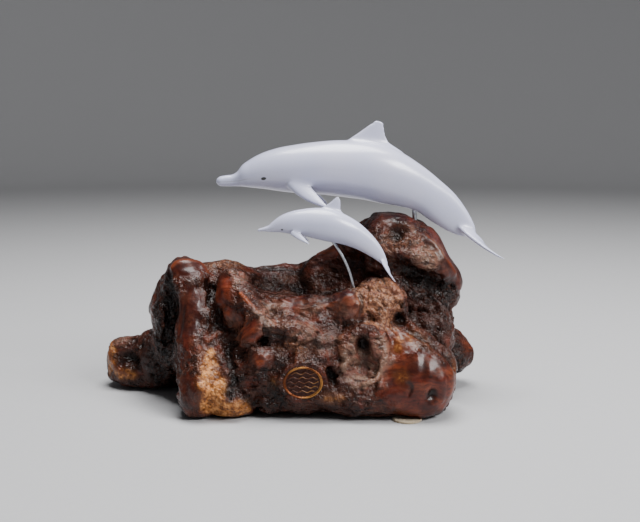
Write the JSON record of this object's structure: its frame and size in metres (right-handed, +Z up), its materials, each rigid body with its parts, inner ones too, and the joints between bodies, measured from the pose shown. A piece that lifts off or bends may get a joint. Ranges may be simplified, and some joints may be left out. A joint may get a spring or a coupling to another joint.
{
  "type": "dolphin figurine",
  "caption": "Tabletop figurine: a leaping mother dolphin and her calf held on metal rods over a knotty, polished burl root that stands on small felt pads.",
  "frame": {"origin": "centre of the overall box in plan, at the level of the surface that the pads stand on", "axes": "+X to the right along the longer side of the burl as the picture shows it (the dolphins' heads point towards -X), +Y away from the viewer, +Z up"},
  "size_m": [0.2376, 0.1172, 0.1614],
  "materials": {
    "burl": "red-brown burl under a thick clear gloss lacquer",
    "pearl": "pearl white with a faint lavender tint, satin gloss",
    "rod": "bright drawn wire",
    "seal": "dark red-brown field, brighter raised rim",
    "felt": "beige felt"
  },
  "bodies": {
    "root": {"burl_root": "burl", "mother_dolphin": "pearl", "calf_dolphin": "pearl", "mother_pin": "rod", "calf_wire": "rod", "makers_seal": "seal", "pad_front_right": "felt", "pad_front_left": "felt", "pad_back": "felt"}
  },
  "joints": []
}
